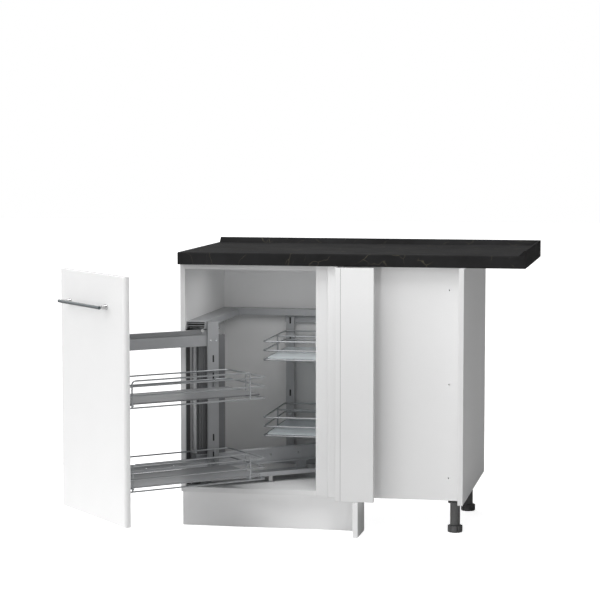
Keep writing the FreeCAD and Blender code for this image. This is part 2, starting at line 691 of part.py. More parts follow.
def front_post(name):
    tops = {"front": UPPER_ARM_BOTTOM + UPPER_ARM_HEIGHT, "rear": GUIDE_TOP - STEEL}
    return slotted_post(front_post_starts()[name], LOWER_ARM_BOTTOM, tops[name])


def post_screws():
    heads = []
    for y0 in front_post_starts().values():
        for z in (LOWER_ARM_BOTTOM + LOWER_ARM_HEIGHT / 2, UPPER_ARM_BOTTOM + UPPER_ARM_HEIGHT / 2):
            for across in (POST_WIDTH / 4, POST_WIDTH * 3 / 4):
                heads.append(screw_head(V(POST_FACE, y0 + across, z), V(1, 0, 0)))
    return heads


def door_bracket(bottom, height):
    left = RAIL_LEFT + STEEL + PLAY
    return box(left, left + DOOR_BRACKET_WIDTH, DOOR_BACK, DOOR_BACK + DOOR_BRACKET,
               bottom - DOOR_BRACKET_LAP, bottom + height + DOOR_BRACKET_LAP)


def front_basket_bounds():
    left = POST_FACE + BRACKET_THICKNESS + WIRE / 2 - WIRE_WELD
    front = ARM_START + FRONT_BASKET_GAP
    return left, left + FRONT_BASKET_WIDTH, front, front + FRONT_BASKET_LENGTH


def front_basket_gallery(base):
    x0, x1, y0, y1 = front_basket_bounds()
    step = WIRE - WIRE_WELD
    front, rear = y0 + HOOP_FRONT_INSET, y1 - HOOP_REAR_INSET
    middle = (x0 + x1) / 2
    rings = [wire_ring(x0, x1, y0, y1, base + rise) for rise in (0, FRONT_MID, FRONT_RIM)]
    hoop = wire_hoop(x1 - step, front, rear, base, base + FRONT_HOOP)
    places = [(x0 + step, front), (x0 + step, rear), (middle, y0 + step), (middle, y1 - step)]
    uprights = [wire_straight(V(x, y, base), V(x, y, base + FRONT_RIM)) for x, y in places]
    z = base + TRAY_LIFT
    bearers = [wire_straight(V(x0 + step, y, z), V(x1 - step, y, z)) for y in (front + step, rear - step)]
    plates = []
    for start in front_post_starts().values():
        y = start + (POST_WIDTH - BRACKET_WIDTH) / 2
        plates.append(box(POST_FACE, POST_FACE + BRACKET_THICKNESS, y, y + BRACKET_WIDTH,
                          base - WIRE / 2, base + FRONT_MID))
    return rings[0].fuse(rings[1:] + [hoop] + uprights + bearers + plates).removeSplitter()


def tray_bearers(x0, x1, y0, y1, base):
    """Floor wires across the bottom ring that carry the tray."""
    quarter = (y1 - y0) / 4
    return [wire_straight(V(x0, y, base), V(x1, y, base)) for y in (y0 + quarter, y1 - quarter)]


def basket_tray(x0, x1, y0, y1, bearer):
    """Floor tray that lies on the bearers, inside the uprights."""
    inset = WIRE * 2
    bottom = bearer + WIRE_FLAT
    return box(x0 + inset, x1 - inset, y0 + inset, y1 - inset, bottom, bottom + TRAY_THICKNESS)


# Rear carriage
def rear_post_starts():
    left = REAR_CARRIAGE_X + REAR_POST_INSET
    right = REAR_CARRIAGE_X + REAR_BASKET_WIDTH - REAR_POST_INSET - REAR_POST_WIDTH
    return {"left": left, "right": right}


def top_beam_top():
    return GUIDE_BOTTOM - BEAM_GAP


def bottom_beam_bottom():
    return FLOOR_TOP + FLOOR_GUIDE_HEIGHT + BEAM_GAP


def rear_post(name):
    """Upright channel, its slotted face to the front."""
    x0 = rear_post_starts()[name]
    x1 = x0 + REAR_POST_WIDTH
    bottom, top = bottom_beam_bottom(), top_beam_top()
    y0, y1 = REAR_POST_FACE, REAR_POST_FACE + POST_DEPTH
    post = box(x0, x1, y0, y1, bottom, top)
    post = post.cut(box(x0 + STEEL, x1 - STEEL, y0 + STEEL, y1, bottom, top))
    left = (x0 + x1 - SLOT_WIDTH) / 2
    for base in REAR_BASKET_BASES:
        for z in (base + rise for rise in REAR_SLOT_RISES):
            post = post.cut(box(left, left + SLOT_WIDTH, y0, y0 + STEEL, z, z + SLOT_HEIGHT))
    return post


def rear_beam(bottom):
    y0 = REAR_POST_FACE + POST_DEPTH
    return box(REAR_CARRIAGE_X, REAR_CARRIAGE_X + REAR_BASKET_WIDTH, y0, y0 + BEAM_DEPTH - STEEL,
               bottom, bottom + BEAM_HEIGHT)


def rear_glide_starts():
    return (REAR_CARRIAGE_X, REAR_CARRIAGE_X + REAR_BASKET_WIDTH - REAR_GLIDE_LENGTH)


def top_glides():
    """Hangers that ride on the lips of the top guide."""
    glides = []
    middle = guide_middle()
    reach = BACK_FACE - STEEL - PLAY - middle
    head_bottom = GUIDE_BOTTOM + STEEL + PLAY
    for x0 in rear_glide_starts():
        neck = box(x0, x0 + REAR_GLIDE_LENGTH, middle - REAR_GLIDE_NECK / 2, middle + REAR_GLIDE_NECK / 2,
                   top_beam_top(), head_bottom)
        head = box(x0, x0 + REAR_GLIDE_LENGTH, middle - reach, middle + reach,
                   head_bottom, GUIDE_TOP - STEEL - BEAM_GAP)
        glides.append(neck.fuse(head).removeSplitter())
    return glides


def bottom_glides():
    """Fins that steer the carriage in the slot of the floor guide."""
    glides = []
    y0 = guide_middle() - REAR_GLIDE_NECK / 2
    for x0 in rear_glide_starts():
        glides.append(box(x0, x0 + REAR_GLIDE_LENGTH, y0, y0 + REAR_GLIDE_NECK,
                          FLOOR_TOP + FLOOR_GUIDE_HEIGHT / 2, bottom_beam_bottom()))
    return glides


def rear_basket_bounds():
    back = REAR_POST_FACE - BRACKET_THICKNESS - WIRE / 2 + WIRE_WELD
    return REAR_CARRIAGE_X, REAR_CARRIAGE_X + REAR_BASKET_WIDTH, back - REAR_BASKET_DEPTH, back


def rear_basket_gallery(base):
    x0, x1, y0, y1 = rear_basket_bounds()
    step = WIRE - WIRE_WELD
    deep = y0 + REAR_UPRIGHT_DEPTH
    rings = [wire_ring(x0, x1, y0, y1, base + rise) for rise in (0, REAR_MID, REAR_RIM)]
    places = [(x0 + step, deep), (x1 - step, deep), ((x0 + x1) / 2, y0 + step)]
    uprights = [wire_straight(V(x, y, base), V(x, y, base + REAR_RIM)) for x, y in places]
    z = base + REAR_RIM - step
    cross = wire_straight(V(x0, deep + step, z), V(x1, deep + step, z))
    plates = []
    for start in rear_post_starts().values():
        x = start + (REAR_POST_WIDTH - BRACKET_WIDTH) / 2
        plates.append(box(x, x + BRACKET_WIDTH, REAR_POST_FACE - BRACKET_THICKNESS, REAR_POST_FACE,
                          base - WIRE / 2, base + REAR_MID))
    bearers = tray_bearers(x0, x1, y0, y1, base)
    return rings[0].fuse(rings[1:] + uprights + [cross] + bearers + plates).removeSplitter()


def write_cabinet():
    for board in (left_side_panel, right_side_panel, floor_panel, back_panel, front_top_rail, rear_top_rail,
                  blind_front_panel, filler_door_strip, filler_return, filler_front_strip, worktop,
                  wall_upstand, plinth_front, plinth_return):
        write(board.__name__, board())
    places = foot_places()
    write("foot_sockets", *[foot_socket(place) for place in places.values()])
    write("foot_columns", *[foot_column(place) for place in places.values()])
    for name, place in places.items():
        write("foot_pad_" + name, foot_pad(place))


def write_fixed_fitting():
    for piece in (base_plate, pivot_column, thrust_bush, left_top_guide, back_top_guide, back_floor_guide,
                  arc_track):
        write(piece.__name__, piece())
    write("base_plate_screws", *base_plate_screws())


def write_swing_frame():
    lower = sleeve(SHEET_BOTTOM + SHEET_THICKNESS, LOWER_RAIL_BOTTOM + LOWER_RAIL_HEIGHT)
    upper = sleeve(UPPER_ARM_BOTTOM, UPPER_RAIL_BOTTOM + UPPER_RAIL_HEIGHT)
    write("lower_sleeve", swung(lower))
    write("upper_sleeve", swung(upper))
    for piece in (lower_rail, upper_rail, swing_upright, base_sheet, rail_riser, support_glide):
        write(piece.__name__, swung(piece()))


def write_front_pullout():
    for piece in (door_panel, handle_bar, upper_runner, upper_arm, lower_arm):
        write(piece.__name__, drawn(piece()))
    write("handle_posts", *[drawn(post) for post in handle_posts()])
    for name in front_post_starts():
        write("pullout_post_" + name, drawn(front_post(name)))
    write("post_screws", *[drawn(head) for head in post_screws()])
    write("door_brackets", drawn(door_bracket(LOWER_ARM_BOTTOM, LOWER_ARM_HEIGHT)),
          drawn(door_bracket(UPPER_ARM_BOTTOM, UPPER_ARM_HEIGHT)))
    for level, base in zip(("lower", "upper"), FRONT_BASKET_BASES):
        write("front_basket_wires_" + level, drawn(front_basket_gallery(base)))
        write("front_basket_tray_" + level, drawn(basket_tray(*front_basket_bounds(), base + TRAY_LIFT)))


def write_rear_carriage():
    for name in rear_post_starts():
        write("carriage_post_" + name, rear_post(name))
    write("carriage_top_beam", rear_beam(top_beam_top() - BEAM_HEIGHT))
    write("carriage_bottom_beam", rear_beam(bottom_beam_bottom()))
    write("carriage_top_glides", *top_glides())
    write("carriage_bottom_glides", *bottom_glides())
    for level, base in zip(("lower", "upper"), REAR_BASKET_BASES):
        write("rear_basket_wires_" + level, rear_basket_gallery(base))
        write("rear_basket_tray_" + level, basket_tray(*rear_basket_bounds(), base))


os.makedirs("parts", exist_ok=True)
write_cabinet()
write_fixed_fitting()
write_swing_frame()
write_front_pullout()
write_rear_carriage()
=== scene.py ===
import json
import math
import bmesh
import bpy
from mathutils import Matrix, Vector

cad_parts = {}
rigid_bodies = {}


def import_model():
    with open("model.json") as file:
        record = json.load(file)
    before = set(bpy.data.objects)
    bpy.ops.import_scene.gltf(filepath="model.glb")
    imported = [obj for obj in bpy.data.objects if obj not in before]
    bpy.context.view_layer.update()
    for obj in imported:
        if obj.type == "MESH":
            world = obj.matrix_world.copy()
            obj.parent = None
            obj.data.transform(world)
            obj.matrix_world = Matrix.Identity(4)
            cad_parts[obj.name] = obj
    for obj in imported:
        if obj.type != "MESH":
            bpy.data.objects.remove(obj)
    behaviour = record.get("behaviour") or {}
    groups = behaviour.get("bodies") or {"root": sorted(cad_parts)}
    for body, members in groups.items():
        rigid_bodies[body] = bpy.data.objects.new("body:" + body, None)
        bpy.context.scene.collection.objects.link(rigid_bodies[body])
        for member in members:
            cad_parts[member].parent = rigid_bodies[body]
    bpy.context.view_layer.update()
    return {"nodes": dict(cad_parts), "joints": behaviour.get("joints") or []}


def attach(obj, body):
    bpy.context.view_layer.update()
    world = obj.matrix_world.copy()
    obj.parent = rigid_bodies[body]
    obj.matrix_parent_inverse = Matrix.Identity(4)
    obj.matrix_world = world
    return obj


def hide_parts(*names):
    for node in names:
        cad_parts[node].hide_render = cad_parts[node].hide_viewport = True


for leftover in list(bpy.data.objects):
    bpy.data.objects.remove(leftover)

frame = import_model()
nodes = frame["nodes"]
print("frame loaded:", len(nodes), "nodes")

scene = bpy.context.scene


# Materials

noiseSpan = (0.3, 0.7)    # most of a noise's values lie between these


def newMaterial(name):
    material = bpy.data.materials.new(name)
    material.use_nodes = True
    tree = material.node_tree
    return material, tree, tree.nodes["Principled BSDF"]


def objectCoords(tree, scale=(1, 1, 1), turn=0.0):
    coords = tree.nodes.new("ShaderNodeTexCoord")
    mapping = tree.nodes.new("ShaderNodeMapping")
    mapping.inputs["Scale"].default_value = scale
    mapping.inputs["Rotation"].default_value = (0, 0, turn)
    tree.links.new(coords.outputs["Object"], mapping.inputs["Vector"])
    return mapping.outputs["Vector"]


def noiseOn(tree, vector, scale, detail=2.0, rough=0.5):
    noise = tree.nodes.new("ShaderNodeTexNoise")
    noise.inputs["Scale"].default_value = scale
    noise.inputs["Detail"].default_value = detail
    noise.inputs["Roughness"].default_value = rough
    tree.links.new(vector, noise.inputs["Vector"])
    return noise.outputs["Fac"]


def rangeOf(tree, value, low, high, fromLow=noiseSpan[0], fromHigh=noiseSpan[1]):
    mapped = tree.nodes.new("ShaderNodeMapRange")
    mapped.inputs["From Min"].default_value = fromLow
    mapped.inputs["From Max"].default_value = fromHigh
    mapped.inputs["To Min"].default_value = low
    mapped.inputs["To Max"].default_value = high
    tree.links.new(value, mapped.inputs["Value"])
    return mapped.outputs["Result"]


def mathOf(tree, operation, first, second):
    node = tree.nodes.new("ShaderNodeMath")
    node.operation = operation
    for socket, value in zip(node.inputs, (first, second)):
        if isinstance(value, float):
            socket.default_value = value
        else:
            tree.links.new(value, socket)
    return node.outputs["Value"]


def colourRamp(tree, value, span, colours):
    ramp = tree.nodes.new("ShaderNodeValToRGB")
    for stop, place, colour in zip(ramp.color_ramp.elements, span, colours):
        stop.position = place
        stop.color = (*colour, 1)
    tree.links.new(value, ramp.inputs["Fac"])
    return ramp.outputs["Color"]


def bumpFrom(tree, shader, height, strength, distance):
    bump = tree.nodes.new("ShaderNodeBump")
    bump.inputs["Strength"].default_value = strength
    bump.inputs["Distance"].default_value = distance
    tree.links.new(height, bump.inputs["Height"])
    tree.links.new(bump.outputs["Normal"], shader.inputs["Normal"])


def grey(value, tint=(1, 1, 1)):
    return tuple(value * t for t in tint)


plainLook = dict(tint=(1, 1, 1), metal=0.0, coat=0.0, coatRough=0.03, coatIor=1.5,
                 cloudDetail=3.0, skinDetail=2.0)


def coatedSurface(name, finish):
    # one recipe for board, foil, paint, steel and plastic: mottled colour, uneven gloss and a fine skin
    look = {**plainLook, **finish}
    material, tree, shader = newMaterial(name)
    vector = objectCoords(tree)
    cloud = noiseOn(tree, vector, look["cloudScale"], look["cloudDetail"])
    skin = noiseOn(tree, vector, look["skinScale"], look["skinDetail"])
    dark = grey(look["base"] * (1 - look["mottle"]), look["tint"])
    light = grey(look["base"] * (1 + look["mottle"]), look["tint"])
    tree.links.new(colourRamp(tree, cloud, noiseSpan, (dark, light)), shader.inputs["Base Color"])
    tree.links.new(rangeOf(tree, cloud, *look["rough"]), shader.inputs["Roughness"])
    bumpFrom(tree, shader, skin, look["skinStrength"], look["skinDepth"])
    shader.inputs["Metallic"].default_value = look["metal"]
    shader.inputs["Coat Weight"].default_value = look["coat"]
    shader.inputs["Coat Roughness"].default_value = look["coatRough"]
    shader.inputs["Coat IOR"].default_value = look["coatIor"]
    return material


# base is the grey, rough the range of the gloss, cloud the mottling, skin the fine bump
finishes = {
    "white_gloss": dict(base=0.98, mottle=0.006, rough=(0.16, 0.22), cloudScale=9, skinScale=260,
                        skinStrength=0.03, skinDepth=0.0004, coat=0.6, coatRough=0.04),
    "panelGloss": dict(base=0.84, mottle=0.006, rough=(0.20, 0.26), cloudScale=9, skinScale=260,
                       skinStrength=0.02, skinDepth=0.0004, coat=1.0, coatRough=0.03, coatIor=2.0),
    "blindGloss": dict(base=0.86, mottle=0.006, rough=(0.20, 0.26), cloudScale=9, skinScale=260,
                       skinStrength=0.02, skinDepth=0.0004, coat=0.5, coatRough=0.03, coatIor=2.0),
    "white_board": dict(base=0.86, mottle=0.008, rough=(0.42, 0.52), cloudScale=14, skinScale=900,
                        skinStrength=0.10, skinDepth=0.0003),
    "foot_plastic": dict(base=0.135, mottle=0.10, rough=(0.45, 0.6), cloudScale=60, skinScale=1400,
                         skinStrength=0.22, skinDepth=0.0003),
    "fitting_steel": dict(base=0.44, mottle=0.03, rough=(0.34, 0.44), cloudScale=25, skinScale=1100,
                          skinStrength=0.10, skinDepth=0.0003, metal=0.15, tint=(0.98, 1.0, 1.03)),
    # fitting steel painted lighter for the lower parts: painted light
    "paintedLightSteel": dict(base=0.58, mottle=0.03, rough=(0.34, 0.44), cloudScale=25, skinScale=1100,
                     skinStrength=0.10, skinDepth=0.0003, metal=0.15, tint=(0.98, 1.0, 1.03)),
    "dark_steel": dict(base=0.19, mottle=0.04, rough=(0.38, 0.48), cloudScale=25, skinScale=1100,
                       skinStrength=0.10, skinDepth=0.0003, metal=0.15, tint=(0.98, 1.0, 1.03)),
    # fitting steel painted darker for the arm's folded edge: painted shade
    "foldShadeSteel": dict(base=0.27, mottle=0.04, rough=(0.36, 0.46), cloudScale=25, skinScale=1100,
                      skinStrength=0.10, skinDepth=0.0003, metal=0.15, tint=(0.98, 1.0, 1.03)),
    "zinc_steel": dict(base=0.92, mottle=0.03, rough=(0.32, 0.42), cloudScale=30, skinScale=900,
                       skinStrength=0.05, skinDepth=0.0002, metal=0.25, tint=(0.99, 1.0, 1.01)),
    "basketWire": dict(base=0.44, mottle=0.04, rough=(0.28, 0.38), cloudScale=40, skinScale=900,
                       skinStrength=0.02, skinDepth=0.0002, metal=0.7, tint=(0.97, 1.0, 1.03)),
    # the front trays are one steel in two greys: the upper one is painted darker, as painted shade
    "upperTray": dict(base=0.22, mottle=0.03, rough=(0.36, 0.46), cloudScale=22, skinScale=1100,
                      skinStrength=0.08, skinDepth=0.0003, metal=0.15, tint=(0.98, 1.0, 1.03)),
    "lowerTray": dict(base=0.41, mottle=0.03, rough=(0.36, 0.46), cloudScale=22, skinScale=1100,
                      skinStrength=0.08, skinDepth=0.0003, metal=0.15, tint=(0.98, 1.0, 1.03)),
    "rearTray": dict(base=0.93, mottle=0.05, rough=(0.28, 0.38), cloudScale=26, skinScale=800,
                     skinStrength=0.02, skinDepth=0.0003, metal=0.1, tint=(0.93, 1.0, 1.03)),
    "chrome": dict(base=0.50, mottle=0.02, rough=(0.06, 0.13), cloudScale=50, skinScale=500,
                   skinStrength=0.01, skinDepth=0.0002, metal=1.0),
    "handleChrome": dict(base=0.12, mottle=0.05, rough=(0.12, 0.20), cloudScale=50, skinScale=500,
                         skinStrength=0.01, skinDepth=0.0002, metal=1.0, tint=(0.88, 1.0, 1.05)),
    "glide_plastic": dict(base=0.10, mottle=0.08, rough=(0.4, 0.5), cloudScale=80, skinScale=1600,
                          skinStrength=0.15, skinDepth=0.0002),
    "slotBlack": dict(base=0.015, mottle=0.10, rough=(0.5, 0.6), cloudScale=80, skinScale=1600,
                      skinStrength=0.12, skinDepth=0.0002),
    "light_plastic": dict(base=0.62, mottle=0.03, rough=(0.4, 0.5), cloudScale=80, skinScale=1600,
                          skinStrength=0.12, skinDepth=0.0002),
    "screw_steel": dict(base=0.72, mottle=0.05, rough=(0.2, 0.32), cloudScale=120, skinScale=900,
                        skinStrength=0.04, skinDepth=0.0002, metal=1.0, tint=(0.98, 1.0, 1.02)),
}


stone = dict(
    ground=0.0205, cloud=0.034, cloudTint=(1.0, 1.0, 1.04), cloudSpan=(0.35, 0.75),
    cloudScale=7.0, cloudDetail=6.0, cloudRough=0.6,
    vein=0.12, veinTint=(1.0, 0.92, 0.66),
    veins=((7.0, 0.007, 0.50), (12.0, 0.009, 0.52)),    # scale of the net, width of a line, where it breaks
    patchScale=1.6, patchFade=0.14,
    stretch=(1.0, 1.25, 1.0), turn=0.5, warpScale=3.2, warpDetail=5.0, warpPush=0.32,
    specular=0.01, rough=(0.5, 0.64), skinScale=520.0, skinDetail=3.0, skinStrength=0.12, skinDepth=0.0003,
)


def warpedCoords(tree, vector):
    warp = tree.nodes.new("ShaderNodeTexNoise")
    warp.inputs["Scale"].default_value = stone["warpScale"]
    warp.inputs["Detail"].default_value = stone["warpDetail"]
    tree.links.new(vector, warp.inputs["Vector"])
    push = tree.nodes.new("ShaderNodeVectorMath")
    push.operation = "MULTIPLY_ADD"
    push.inputs[1].default_value = [stone["warpPush"]] * 3
    tree.links.new(warp.outputs["Color"], push.inputs[0])
    tree.links.new(vector, push.inputs[2])
    return push.outputs["Vector"]


def brokenVeins(tree, vector):
    warped = warpedCoords(tree, vector)
    drawn = 0.0
    for scale, width, cut in stone["veins"]:
        cells = tree.nodes.new("ShaderNodeTexVoronoi")
        cells.feature = "DISTANCE_TO_EDGE"
        cells.inputs["Scale"].default_value = scale
        tree.links.new(warped, cells.inputs["Vector"])
        line = rangeOf(tree, cells.outputs["Distance"], 1.0, 0.0, 0.0, width)
        patches = noiseOn(tree, vector, scale * stone["patchScale"])
        patch = rangeOf(tree, patches, 0.0, 1.0, cut, cut + stone["patchFade"])
        drawn = mathOf(tree, "MAXIMUM", mathOf(tree, "MULTIPLY", line, patch), drawn)
    return drawn


def stoneLaminate(name):
    # anthracite decor: thin broken veins on a cloudy ground, with a fine matt structure
    material, tree, shader = newMaterial(name)
    vector = objectCoords(tree, stone["stretch"], stone["turn"])
    drift = noiseOn(tree, vector, stone["cloudScale"], stone["cloudDetail"], stone["cloudRough"])
    tones = grey(stone["ground"]), grey(stone["cloud"], stone["cloudTint"])
    mix = tree.nodes.new("ShaderNodeMix")
    mix.data_type = "RGBA"
    mix.inputs["B"].default_value = (*grey(stone["vein"], stone["veinTint"]), 1)
    tree.links.new(brokenVeins(tree, vector), mix.inputs["Factor"])
    tree.links.new(colourRamp(tree, drift, stone["cloudSpan"], tones), mix.inputs["A"])
    tree.links.new(mix.outputs["Result"], shader.inputs["Base Color"])
    skin = noiseOn(tree, vector, stone["skinScale"], stone["skinDetail"])
    tree.links.new(rangeOf(tree, skin, *stone["rough"]), shader.inputs["Roughness"])
    shader.inputs["Specular IOR Level"].default_value = stone["specular"]
    bumpFrom(tree, shader, skin, stone["skinStrength"], stone["skinDepth"])
    return material


looks = {slot: coatedSurface(slot + "Look", look) for slot, look in finishes.items()}
looks["dark_laminate"] = stoneLaminate("darkLaminateLook")
looks["basket_steel"] = looks["basketWire"]

ownLooks = dict(    # nodes that differ from the finish of their slot
    blindGloss=["blind_front_panel"],
    panelGloss=["filler_door_strip", "filler_return", "filler_front_strip"],
    # the lower rail, arm, sheet, riser and sleeve: fitting steel painted lighter, as painted light
    paintedLightSteel=["lower_rail", "lower_arm", "base_sheet", "rail_riser", "lower_sleeve"],
    dark_steel=["upper_rail"],
)
for node in nodes.values():
    node.data.materials[0] = looks[node.data.materials[0].name]
for look, names in ownLooks.items():
    for name in names:
        nodes[name].data.materials[0] = looks[look]


# Boards: a small round on every edge, so that the joints between them show

boards = dict(radius=0.0010, segments=3, weldGap=1e-5, flatAngle=1.0,
              names=["left_side_panel", "right_side_panel", "filler_door_strip", "filler_return",
                     "filler_front_strip", "plinth_front", "plinth_return"])


def softBoards():
    for name in boards["names"]:
        weld = nodes[name].modifiers.new("weld", "WELD")
        weld.merge_threshold = boards["weldGap"]
        # flat triangles are joined first, so that the round is even
        whole = nodes[name].modifiers.new("wholeFaces", "DECIMATE")
        whole.decimate_type = "DISSOLVE"
        whole.angle_limit = math.radians(boards["flatAngle"])
        soft = nodes[name].modifiers.new("softEdge", "BEVEL")
        soft.width = boards["radius"]
        soft.segments = boards["segments"]
        soft.limit_method = "ANGLE"
        soft.harden_normals = True


softBoards()
print("materials on CAD nodes")


# Turned axes of the drawn-out pieces

swing = next(joint for joint in frame["joints"] if joint["name"] == "front_swing")
pivot = Vector((swing["pos_m"][0], swing["pos_m"][1], 0))
drawnOut = Matrix.Translation(pivot) @ Matrix.Rotation(-math.radians(swing["range_deg"][1]), 4, "Z")
squareOn = Matrix.Identity(4)


def boxOf(places):
    low = Vector([min(place[i] for place in places) for i in range(3)])
    high = Vector([max(place[i] for place in places) for i in range(3)])
    return low, high


def nodeBox(name, axes=squareOn):
    back = axes.inverted()
    return boxOf([back @ vertex.co for vertex in nodes[name].data.vertices])


# Tools that several pieces share

meshing = dict(weldGap=1e-6, nearGap=1e-5, sharpAngle=40)


def finishPiece(name, bm, look, body, axes=squareOn, stands=(), sharpAngle=meshing["sharpAngle"]):
    # stands lists the CAD nodes that the piece stands for
    bmesh.ops.remove_doubles(bm, verts=bm.verts, dist=meshing["weldGap"])
    bmesh.ops.recalc_face_normals(bm, faces=bm.faces)
    bmesh.ops.transform(bm, matrix=axes, verts=bm.verts)
    for face in bm.faces:
        face.smooth = True
    mesh = bpy.data.meshes.new(name)
    bm.to_mesh(mesh)
    bm.free()
    mesh.set_sharp_from_angle(angle=math.radians(sharpAngle))
    piece = bpy.data.objects.new(name, mesh)
    scene.collection.objects.link(piece)
    mesh.materials.append(looks[look])
    # large faces stay flat beside their soft edges
    level = piece.modifiers.new("flatFaces", "WEIGHTED_NORMAL")
    level.keep_sharp = True
    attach(piece, body)
    if stands:
        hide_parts(*stands)


def edgesOf(geometry):
    return [item for item in geometry if isinstance(item, bmesh.types.BMEdge)]


def addBlock(bm, low, high):
    size = high - low
    middle = (low + high) / 2
    shape = Matrix.Translation(middle) @ Matrix.Diagonal((*size, 1))
    return bmesh.ops.create_cube(bm, size=1, matrix=shape)["verts"]


def roundEdges(bm, edges, radius, segments):
    bmesh.ops.bevel(bm, geom=edges, offset=radius, offset_type="OFFSET", affect="EDGES",
                    segments=segments, profile=0.5, material=-1)


def edgesAround(verts):
    return list({edge for vert in verts for edge in vert.link_edges})


def uprightEdges(verts):    # of a block
    return [edge for edge in edgesAround(verts)
            if abs(edge.verts[0].co.z - edge.verts[1].co.z) > meshing["nearGap"]]


def sharpEdges(bm, angle):
    bm.normal_update()
    return [edge for edge in bm.edges if edge.is_manifold and edge.calc_face_angle() > math.radians(angle)]


def softBlock(bm, low, high, radius, segments=2):
    roundEdges(bm, edgesAround(addBlock(bm, low, high)), radius, segments)


def lathe(bm, profile, foot, direction, steps):
    # profile is (radius, height) along the direction, spun into a closed round shape
    along = Vector(direction).normalized()
    side = along.orthogonal().normalized()
    foot = Vector(foot)
    verts = [bm.verts.new(foot + side * radius + along * height) for radius, height in profile]
    edges = [bm.edges.new(pair) for pair in zip(verts, verts[1:])]
    bmesh.ops.spin(bm, geom=verts + edges, cent=foot, axis=along, angle=math.tau, steps=steps, use_merge=True)


# Wire: a round section drawn through straight runs and bends

wire = dict(diameter=0.005, sides=12, bendSteps=6)


def wireStart(bm, place, direction):
    turn = Vector(direction).to_track_quat("Z", "Y").to_matrix().to_4x4()
    section = bmesh.ops.create_circle(bm, segments=wire["sides"], radius=wire["diameter"] / 2,
                                      matrix=Matrix.Translation(place) @ turn)
    return edgesAround(section["verts"])


def wireRun(bm, section, step):
    return edgesOf(bmesh.ops.spin(bm, geom=section, cent=(0, 0, 0), axis=(0, 0, 1), dvec=step,
                                  angle=0, steps=1)["geom_last"])


def wireBend(bm, section, centre, axis, turn=math.pi / 2):
    return edgesOf(bmesh.ops.spin(bm, geom=section, cent=centre, axis=axis, angle=turn,
                                  steps=wire["bendSteps"])["geom_last"])


def wireCap(bm, section):
    bmesh.ops.contextual_create(bm, geom=section)


def wireStraight(bm, start, end):
    first = wireStart(bm, start, end - start)
    last = wireRun(bm, first, end - start)
    wireCap(bm, first)
    wireCap(bm, last)


def wireRing(bm, low, high, z, corner):
    x0, x1, y0, y1 = low.x, high.x, low.y, high.y
    middle = (x0 + x1) / 2
    section = wireStart(bm, Vector((middle, y0, z)), Vector((1, 0, 0)))
    section = wireRun(bm, section, (x1 - corner - middle, 0, 0))
    section = wireBend(bm, section, (x1 - corner, y0 + corner, z), (0, 0, 1))
    section = wireRun(bm, section, (0, y1 - y0 - 2 * corner, 0))
    section = wireBend(bm, section, (x1 - corner, y1 - corner, z), (0, 0, 1))
    section = wireRun(bm, section, (x0 - x1 + 2 * corner, 0, 0))
    section = wireBend(bm, section, (x0 + corner, y1 - corner, z), (0, 0, 1))
    section = wireRun(bm, section, (0, y0 - y1 + 2 * corner, 0))
    section = wireBend(bm, section, (x0 + corner, y0 + corner, z), (0, 0, 1))
    wireRun(bm, section, (middle - x0 - corner, 0, 0))


def wireHoop(bm, x, y0, y1, z0, z1, corner):
    first = wireStart(bm, Vector((x, y0, z0)), Vector((0, 0, 1)))
    section = wireRun(bm, first, (0, 0, z1 - corner - z0))
    section = wireBend(bm, section, (x, y0 + corner, z1 - corner), (1, 0, 0), -math.pi / 2)
    section = wireRun(bm, section, (0, y1 - y0 - 2 * corner, 0))
    section = wireBend(bm, section, (x, y1 - corner, z1 - corner), (1, 0, 0), -math.pi / 2)
    last = wireRun(bm, section, (0, 0, z0 - z1 + corner))
    wireCap(bm, first)
    wireCap(bm, last)


frontBasket = dict(levels=(0.0, 0.036, 0.064), corner=0.012, weld=0.0038, trayLift=0.006,
                   hoopRise=0.080, hoopCorner=0.011, hoopFront=0.059, hoopRear=0.052)
rearBasket = dict(levels=(0.0, 0.030, 0.059), corner=0.012, weld=0.0038, uprightDepth=0.210)
hookPlate = dict(width=0.010, depth=0.002, softEdge=0.0006, weld=0.0012)    # a ring is sunk by weld


def wireBounds(name, axes):
    low, high = nodeBox(name, axes)
    half = Vector((1, 1, 1)) * wire["diameter"] / 2
    return low + half, high - half


def frontGallery(level):
    name = "front_basket_wires_" + level
    look = frontBasket
    low, high = wireBounds(name, drawnOut)
    post = nodeBox("pullout_post_rear", drawnOut)[1].x
    low.x = post + hookPlate["depth"] + wire["diameter"] / 2 - hookPlate["weld"]
    base, weld = low.z, look["weld"]
    front, rear = low.y + look["hoopFront"], high.y - look["hoopRear"]
    middle = (low.x + high.x) / 2
    bm = bmesh.new()
    for rise in look["levels"]:
        wireRing(bm, low, high, base + rise, look["corner"])
    wireHoop(bm, high.x - weld, front, rear, base, base + look["hoopRise"], look["hoopCorner"])
    rim = base + look["levels"][-1]
    for x, y in ((low.x + weld, front), (low.x + weld, rear),
                 (middle, low.y + weld), (middle, high.y - weld)):
        wireStraight(bm, Vector((x, y, base)), Vector((x, y, rim)))
    for y in (front + weld, rear - weld):
        z = base + look["trayLift"]
        wireStraight(bm, Vector((low.x + weld, y, z)), Vector((high.x - weld, y, z)))
    for side in ("front", "rear"):
        postLow, postHigh = nodeBox("pullout_post_" + side, drawnOut)
        y = (postLow.y + postHigh.y - hookPlate["width"]) / 2
        softBlock(bm, Vector((postHigh.x, y, base - wire["diameter"] / 2)),
                  Vector((postHigh.x + hookPlate["depth"], y + hookPlate["width"], base + look["levels"][1])),
                  hookPlate["softEdge"])
    finishPiece("frontGallery" + level.capitalize(), bm, "basketWire", "front_pullout",
                drawnOut, [name])


